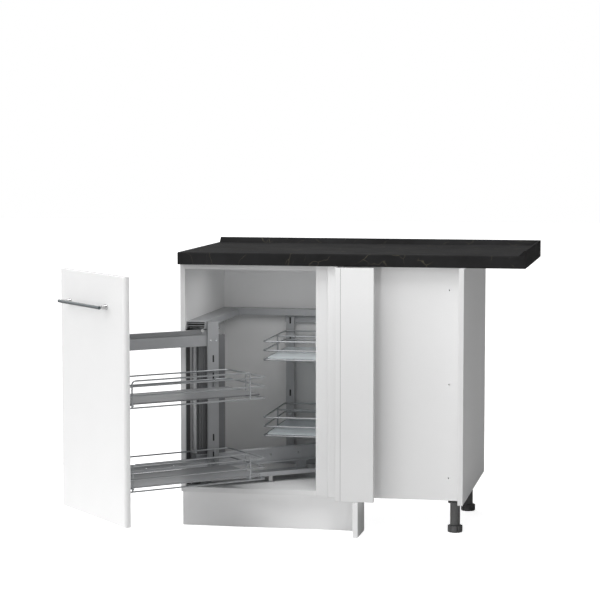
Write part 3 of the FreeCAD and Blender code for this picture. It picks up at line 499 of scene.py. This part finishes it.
def rearGallery(level):
    name = "rear_basket_wires_" + level
    look = rearBasket
    low, high = wireBounds(name, squareOn)
    post = nodeBox("carriage_post_left")[0].y
    high.y = post - hookPlate["depth"] - wire["diameter"] / 2 + hookPlate["weld"]
    base, weld = low.z, look["weld"]
    deep = low.y + look["uprightDepth"]
    rim = base + look["levels"][-1]
    bm = bmesh.new()
    for rise in look["levels"]:
        wireRing(bm, low, high, base + rise, look["corner"])
    for x, y in ((low.x + weld, deep), (high.x - weld, deep), ((low.x + high.x) / 2, low.y + weld)):
        wireStraight(bm, Vector((x, y, base)), Vector((x, y, rim)))
    wireStraight(bm, Vector((low.x, deep + weld, rim - weld)), Vector((high.x, deep + weld, rim - weld)))
    quarter = (high.y - low.y) / 4
    for y in (low.y + quarter, high.y - quarter):
        wireStraight(bm, Vector((low.x, y, base)), Vector((high.x, y, base)))
    for side in ("left", "right"):
        postLow, postHigh = nodeBox("carriage_post_" + side)
        x = (postLow.x + postHigh.x - hookPlate["width"]) / 2
        softBlock(bm, Vector((x, postLow.y - hookPlate["depth"], base - wire["diameter"] / 2)),
                  Vector((x + hookPlate["width"], postLow.y, base + look["levels"][1])),
                  hookPlate["softEdge"])
    finishPiece("rearGallery" + level.capitalize(), bm, "basketWire", "rear_carriage",
                squareOn, [name])


# Trays: pressed sheet with round corners and a sunk floor

tray = dict(corner=0.009, cornerSteps=6, rim=0.006, sink=0.0022, softEdge=0.0006, softSteps=2,
            sharpAngle=50, flatTop=0.9)


def pressedTray(place, level, look, body, axes):
    name = place + "_basket_tray_" + level
    bm = bmesh.new()
    verts = addBlock(bm, *nodeBox(name, axes))
    roundEdges(bm, uprightEdges(verts), tray["corner"], tray["cornerSteps"])
    bm.normal_update()
    top = [face for face in bm.faces if face.normal.z > tray["flatTop"]]
    bmesh.ops.inset_region(bm, faces=top, thickness=tray["rim"], use_even_offset=True)
    sunk = list({vert for face in top for vert in face.verts})
    bmesh.ops.translate(bm, verts=sunk, vec=(0, 0, -tray["sink"]))
    roundEdges(bm, sharpEdges(bm, tray["sharpAngle"]), tray["softEdge"], tray["softSteps"])
    finishPiece(place + "Tray" + level.capitalize(), bm, look, body, axes, [name])


for level in ("lower", "upper"):
    frontGallery(level)
    rearGallery(level)
    # each front tray takes its level's grey; the upper one's darker grey is painted shade
    pressedTray("front", level, level + "Tray", "front_pullout", drawnOut)
    pressedTray("rear", level, "rearTray", "rear_carriage", squareOn)
print("baskets made")


# Door: foil-wrapped board with soft front edges

door = dict(sideRadius=0.011, sideSteps=10, endRadius=0.0015, endSteps=3, sharpAngle=60)


def softDoor():
    low, high = nodeBox("door_panel", drawnOut)
    front = low.y + meshing["nearGap"]
    bm = bmesh.new()
    verts = addBlock(bm, low, high)
    sides = [edge for edge in uprightEdges(verts) if all(vert.co.y < front for vert in edge.verts)]
    roundEdges(bm, sides, door["sideRadius"], door["sideSteps"])
    roundEdges(bm, sharpEdges(bm, door["sharpAngle"]), door["endRadius"], door["endSteps"])
    finishPiece("softDoor", bm, "white_gloss", "front_pullout", drawnOut, ["door_panel"])


softDoor()


# Handle: round bar on two flared posts

handle = dict(steps=40, sharpAngle=50, endRound=0.0015,
              footRound=0.001, footEdge=0.5, footRim=2.0, footSlope=3.0,
              waist=0.0048, neck=1.35, neckPlace=0.35, waistPlace=0.6)
rimShare = 0.3    # middle point of a round rim, as a share of its radius


def barHandle():
    low, high = nodeBox("handle_bar", drawnOut)
    radius = (high.z - low.z) / 2
    axis = Vector((low.x, (low.y + high.y) / 2, (low.z + high.z) / 2))
    length, soft = high.x - low.x, handle["endRound"]
    mid = soft * rimShare
    bm = bmesh.new()
    lathe(bm, [(0, 0), (radius - soft, 0), (radius - mid, mid), (radius, soft),
               (radius, length - soft), (radius - mid, length - mid), (radius - soft, length),
               (0, length)], axis, (1, 0, 0), handle["steps"])
    finishPiece("handleBar", bm, "handleChrome", "front_pullout", drawnOut, ["handle_bar"],
                handle["sharpAngle"])

    postLow, postHigh = nodeBox("handle_posts", drawnOut)
    wide, waist = (postHigh.z - postLow.z) / 2, handle["waist"]
    reach, soft = postHigh.y - axis.y, handle["footRound"]
    bm = bmesh.new()
    for x in (postLow.x + wide, postHigh.x - wide):
        lathe(bm, [(0, 0), (wide - soft * rimShare, 0), (wide, soft * handle["footEdge"]),
                   (wide, soft * handle["footRim"]), (wide - soft, soft * handle["footSlope"]),
                   (waist * handle["neck"], reach * handle["neckPlace"]),
                   (waist, reach * handle["waistPlace"]), (waist, reach), (0, reach)],
              (x, postHigh.y, axis.z), (0, -1, 0), handle["steps"])
    finishPiece("handlePosts", bm, "chrome", "front_pullout", drawnOut, ["handle_posts"],
                handle["sharpAngle"])


barHandle()
print("door and handle made")


# Feet: fluted pads and plain columns under a thin flange

foot = dict(flutes=6, fluteDepth=0.004, fluteSharp=9, fluteReach=1.1, steps=72, padInset=0.0002,
            softEdge=0.003, topShare=0.4, stem=0.008, play=0.0003, column=0.0155, bore=0.0084,
            collar=0.0225, collarLow=0.092, collarHigh=0.0965, flange=0.004, columnSoft=0.0008)


def flutedPad(name):
    low, high = nodeBox(name)
    middle = (low + high) / 2
    radius = max(high.x - low.x, high.y - low.y) / 2 - foot["padInset"]
    column = nodeBox("foot_columns")[0].z
    top = column - foot["play"]
    soft, stem = foot["softEdge"], foot["stem"]
    mid = soft * rimShare
    bm = bmesh.new()
    lathe(bm, [(0, 0), (radius - soft, 0), (radius - mid, mid), (radius, soft), (radius, column - soft),
               (radius - mid, column - soft * foot["topShare"]), (radius - soft, top),
               (stem, top), (stem, high.z), (0, high.z)],
          (middle.x, middle.y, 0), (0, 0, 1), foot["steps"])
    for vert in bm.verts:
        out = vert.co.xy - middle.xy
        if out.length > radius - soft * foot["fluteReach"]:
            wave = max(0.0, math.cos(foot["flutes"] * math.atan2(out.y, out.x))) ** foot["fluteSharp"]
            vert.co.xy = middle.xy + out * (1 - wave * foot["fluteDepth"] / radius)
    finishPiece(name.replace("foot_pad", "flutedPad"), bm, "foot_plastic", name + "_body",
                squareOn, [name])


def footColumns(pads):
    # round tubes under a top flange, with a collar below it
    bottom, top = nodeBox("foot_columns")[0].z, nodeBox("foot_sockets")[1].z
    # radius of the flange: from the middle of the right-hand pads to the sockets' right edge
    flange = nodeBox("foot_sockets")[1].x - max(sum(nodeBox(pad), Vector()).x for pad in pads) / 2
    radius, bore, collar, soft = foot["column"], foot["bore"], foot["collar"], foot["columnSoft"]
    collarLow, collarHigh, under = foot["collarLow"], foot["collarHigh"], top - foot["flange"]
    bm = bmesh.new()
    for pad in pads:
        low, high = nodeBox(pad)
        middle = (low + high) / 2
        lathe(bm, [(bore, bottom), (radius - soft, bottom), (radius, bottom + soft), (radius, collarLow),
                   (collar - soft, collarLow), (collar, collarLow + soft), (collar, collarHigh - soft),
                   (collar - soft, collarHigh), (radius, collarHigh), (radius, under), (flange - soft, under),
                   (flange, under + soft), (flange, top), (bore, top), (bore, bottom)],
              (middle.x, middle.y, 0), (0, 0, 1), foot["steps"])
    finishPiece("footColumns", bm, "foot_plastic", "cabinet", squareOn,
                ["foot_columns", "foot_sockets"])


padNames = sorted(name for name in nodes if name.startswith("foot_pad_"))
for name in padNames:
    flutedPad(name)
footColumns(padNames)
print("feet made")


# Screws: pan heads with a round recess

screw = dict(steps=24, crown=0.35, shoulder=0.9, shoulderRise=0.75, rim=0.7, recess=0.45, recessFloor=0.3,
             recessDepth=0.0009, weldGap=1e-5)


def panHead(bm, place, direction, radius, height):
    sunk = height - screw["recessDepth"]
    lathe(bm, [(0, 0), (radius, 0), (radius, height * screw["crown"]),
               (radius * screw["shoulder"], height * screw["shoulderRise"]), (radius * screw["rim"], height),
               (radius * screw["recess"], height), (radius * screw["recessFloor"], sunk), (0, sunk)],
          place, direction, screw["steps"])


def headBoxes(name, axes):
    # each head is a loose island of its node's mesh
    bm = bmesh.new()
    bm.from_mesh(nodes[name].data)
    bmesh.ops.transform(bm, matrix=axes.inverted(), verts=bm.verts)
    bmesh.ops.remove_doubles(bm, verts=bm.verts, dist=screw["weldGap"])
    left, boxes = set(bm.verts), []
    while left:
        queue, island = [left.pop()], []
        while queue:
            vert = queue.pop()
            island.append(vert.co.copy())
            for edge in vert.link_edges:
                other = edge.other_vert(vert)
                if other in left:
                    left.remove(other)
                    queue.append(other)
        boxes.append(boxOf(island))
    bm.free()
    return boxes


def screwSet(node, title, axis, direction, body, axes):
    bm = bmesh.new()
    for low, high in headBoxes(node, axes):
        place = (low + high) / 2
        place[axis] = low[axis] if direction[axis] > 0 else high[axis]
        panHead(bm, place, direction, (high.y - low.y) / 2, high[axis] - low[axis])
    finishPiece(title, bm, "screw_steel", body, axes, [node])


screwSet("post_screws", "postScrews", 0, (1, 0, 0), "front_pullout", drawnOut)
screwSet("base_plate_screws", "basePlateScrews", 2, (0, 0, 1), "cabinet", squareOn)


# Small trim of the fitting and the filler

guideMouth = dict(wall=0.002, depth=0.018, plate=0.0016, levels=(0.0055, 0.013), softEdge=0.0004)


def innerRails():
    # two rails and a stop in the mouth of the left top guide
    low, high = nodeBox("left_top_guide")
    wall, plate, soft = guideMouth["wall"], guideMouth["plate"], guideMouth["softEdge"]
    left, right, front = low.x + wall, high.x - wall, low.y + plate
    back = front + guideMouth["depth"]
    bm = bmesh.new()
    for level in guideMouth["levels"]:
        top = high.z - level
        softBlock(bm, Vector((left, front, top - plate)), Vector((right, back, top)), soft)
    finishPiece("guideInnerRails", bm, "fitting_steel", "cabinet")
    bm = bmesh.new()
    softBlock(bm, Vector((left, back, low.z + plate)), Vector((right, back + plate, high.z - wall)), soft)
    finishPiece("guideStop", bm, "glide_plastic", "cabinet")


# a dark strip sunk in the filler's joint, as painted shade
fillerJointShade = dict(width=0.0014, inset=0.0002, depth=0.003, endGap=0.002)


def shadeInFillerJoint():
    # dark strip at the bottom of the joint between the filler's return and its front strip: painted shade in
    # the groove
    low, high = nodeBox("filler_front_strip")
    half, front = fillerJointShade["width"] / 2, low.y + fillerJointShade["inset"]
    bm = bmesh.new()
    addBlock(bm, Vector((low.x - half, front, low.z + fillerJointShade["endGap"])),
             Vector((low.x + half, front + fillerJointShade["depth"], high.z - fillerJointShade["endGap"])))
    finishPiece("fillerJointShade", bm, "glide_plastic", "cabinet")


armRoller = dict(place=0.0, drop=0.002, radius=0.005, width=0.005, hub=0.0022, hubRim=1.4,
                 softShare=0.12, steps=32)


def rollerOnArm():
    high = nodeBox("upper_arm", drawnOut)[1]
    radius, width, hub = armRoller["radius"], armRoller["width"], armRoller["hub"]
    soft, rim = radius * armRoller["softShare"], hub * armRoller["hubRim"]
    bm = bmesh.new()
    lathe(bm, [(0, 0), (radius - soft, 0), (radius, soft), (radius, width - soft), (radius - soft, width),
               (rim, width), (rim, width - soft), (hub, width - soft), (hub, width + soft),
               (0, width + soft)],
          (high.x, armRoller["place"], high.z - armRoller["drop"]), (1, 0, 0), armRoller["steps"])
    finishPiece("armRoller", bm, "light_plastic", "front_pullout", drawnOut)


armStrip = dict(height=0.012, depth=0.0008, frontGap=0.004, rearGap=0.055, softEdge=0.0003)


def stripOnArm():
    # folded top edge of the upper arm, drawn as a thin flat strip whose darker steel is painted shade of the
    # fold
    low, high = nodeBox("upper_arm", drawnOut)
    bm = bmesh.new()
    softBlock(bm, Vector((high.x, low.y + armStrip["frontGap"], high.z - armStrip["height"])),
              Vector((high.x + armStrip["depth"], high.y - armStrip["rearGap"], high.z)),
              armStrip["softEdge"])
    finishPiece("armStrip", bm, "foldShadeSteel", "front_pullout", drawnOut)


sideStrip = dict(front=-0.062, back=-0.014, depth=0.001, foot=0.004, head=0.002, softEdge=0.0003)


def stripOnSide():
    # dark strip on the inner face of the left side, below the guide
    wall = nodeBox("left_side_panel")[1].x
    bottom = nodeBox("floor_panel")[1].z + sideStrip["foot"]
    top = nodeBox("left_top_guide")[0].z - sideStrip["head"]
    bm = bmesh.new()
    softBlock(bm, Vector((wall, sideStrip["front"], bottom)),
              Vector((wall + sideStrip["depth"], sideStrip["back"], top)), sideStrip["softEdge"])
    finishPiece("sideStrip", bm, "glide_plastic", "cabinet")


innerRails()
shadeInFillerJoint()
rollerOnArm()
stripOnArm()
stripOnSide()


# Slots of the posts: thin black strips behind them

slotBackStrip = dict(width=0.012, depth=0.001, gap=0.0024, endGap=0.004, softEdge=0.0002, softSteps=1)


def slotBackStrips():
    width, depth, end = slotBackStrip["width"], slotBackStrip["depth"], slotBackStrip["endGap"]
    soft = slotBackStrip["softEdge"], slotBackStrip["softSteps"]
    bm = bmesh.new()
    for side in ("front", "rear"):
        low, high = nodeBox("pullout_post_" + side, drawnOut)
        x, y = high.x - slotBackStrip["gap"], (low.y + high.y - width) / 2
        softBlock(bm, Vector((x - depth, y, low.z + end)), Vector((x, y + width, high.z - end)), *soft)
    finishPiece("frontSlotStrips", bm, "slotBlack", "front_pullout", drawnOut)
    bm = bmesh.new()
    for side in ("left", "right"):
        low, high = nodeBox("carriage_post_" + side)
        x, y = (low.x + high.x - width) / 2, low.y + slotBackStrip["gap"]
        softBlock(bm, Vector((x, y, low.z + end)), Vector((x + width, y + depth, high.z - end)), *soft)
    finishPiece("rearSlotStrips", bm, "slotBlack", "rear_carriage", squareOn)


slotBackStrips()
print("screws, trim and hook strips made")


# Camera at the photograph's viewing angle

view = dict(place=(1.5543, -6.3422, 1.2667), yaw=10.94, pitch=4.87, lens=124.29, sensor=36.0, farthest=100.0)


def placeCamera():
    data = bpy.data.cameras.new("camera")
    camera = bpy.data.objects.new("camera", data)
    scene.collection.objects.link(camera)
    camera.location = view["place"]
    camera.rotation_euler = (math.radians(90 - view["pitch"]), 0, math.radians(view["yaw"]))
    data.lens = view["lens"]
    data.sensor_width = view["sensor"]
    data.clip_end = view["farthest"]
    scene.camera = camera


# Pale floor and soft studio light, brightest from the left and from above

studio = dict(floorSize=40.0, floorColour=0.9, floorRough=0.8, floorGlow=0.86,
              leftWorld=1.48, leftSpan=(-0.7, 0.15), frontWorld=0.30, frontSpan=(-0.9, -0.3),
              farGlow=1.2, farSpan=(-9.0, -2.0))
lamps = dict(
    topLight=dict(place=(0.5, -1.15, 3.45), aim=(0.4, -0.1, 0.5), size=1.6, power=48.0),
    insideLight=dict(place=(0.26, 0.06, 0.80), aim=(0.20, 0.22, 0.10), size=0.28, power=0.62),
)


def aimedArea(name, lamp):
    data = bpy.data.lights.new(name, "AREA")
    data.size = lamp["size"]
    data.energy = lamp["power"]
    obj = bpy.data.objects.new(name, data)
    scene.collection.objects.link(obj)
    obj.location = lamp["place"]
    obj.rotation_euler = (Vector(lamp["aim"]) - Vector(lamp["place"])).to_track_quat("-Z", "Y").to_euler()
    obj.visible_camera = False


def setFloor():
    bm = bmesh.new()
    bmesh.ops.create_grid(bm, x_segments=1, y_segments=1, size=studio["floorSize"] / 2)
    mesh = bpy.data.meshes.new("floor")
    bm.to_mesh(mesh)
    bm.free()
    floor = bpy.data.objects.new("floor", mesh)
    scene.collection.objects.link(floor)
    material, tree, shader = newMaterial("paleFloor")
    shader.inputs["Base Color"].default_value = (*grey(studio["floorColour"]), 1)
    shader.inputs["Roughness"].default_value = studio["floorRough"]
    shader.inputs["Emission Color"].default_value = (1, 1, 1, 1)
    rays = tree.nodes.new("ShaderNodeLightPath").outputs
    split = tree.nodes.new("ShaderNodeSeparateXYZ")
    tree.links.new(objectCoords(tree), split.inputs["Vector"])
    # gloss fronts mirror a bright hall far in front of them
    far = rangeOf(tree, split.outputs["Y"], studio["farGlow"], 0.0, *studio["farSpan"])
    mirrored = mathOf(tree, "MULTIPLY", rays["Is Glossy Ray"], far)
    seen = mathOf(tree, "MULTIPLY", rays["Is Camera Ray"], studio["floorGlow"])
    tree.links.new(mathOf(tree, "ADD", seen, mirrored), shader.inputs["Emission Strength"])
    floor.data.materials.append(material)


def setWorld():
    world = bpy.data.worlds.new("studioWorld")
    scene.world = world
    world.use_nodes = True
    tree = world.node_tree
    background = tree.nodes["Background"]
    background.inputs["Color"].default_value = (1, 1, 1, 1)
    coords = tree.nodes.new("ShaderNodeTexCoord")
    split = tree.nodes.new("ShaderNodeSeparateXYZ")
    tree.links.new(coords.outputs["Generated"], split.inputs["Vector"])
    left = rangeOf(tree, split.outputs["X"], studio["leftWorld"], 0.0, *studio["leftSpan"])
    front = rangeOf(tree, split.outputs["Y"], studio["frontWorld"], 0.0, *studio["frontSpan"])
    glow = mathOf(tree, "ADD", left, front)
    seen = tree.nodes.new("ShaderNodeLightPath").outputs["Is Camera Ray"]    # the backdrop itself stays white
    tree.links.new(mathOf(tree, "MAXIMUM", glow, seen), background.inputs["Strength"])


def setStudio():
    setFloor()
    setWorld()
    for name, lamp in lamps.items():
        aimedArea(name, lamp)
    scene.view_settings.view_transform = "Standard"


placeCamera()
setStudio()
print("camera and studio set")
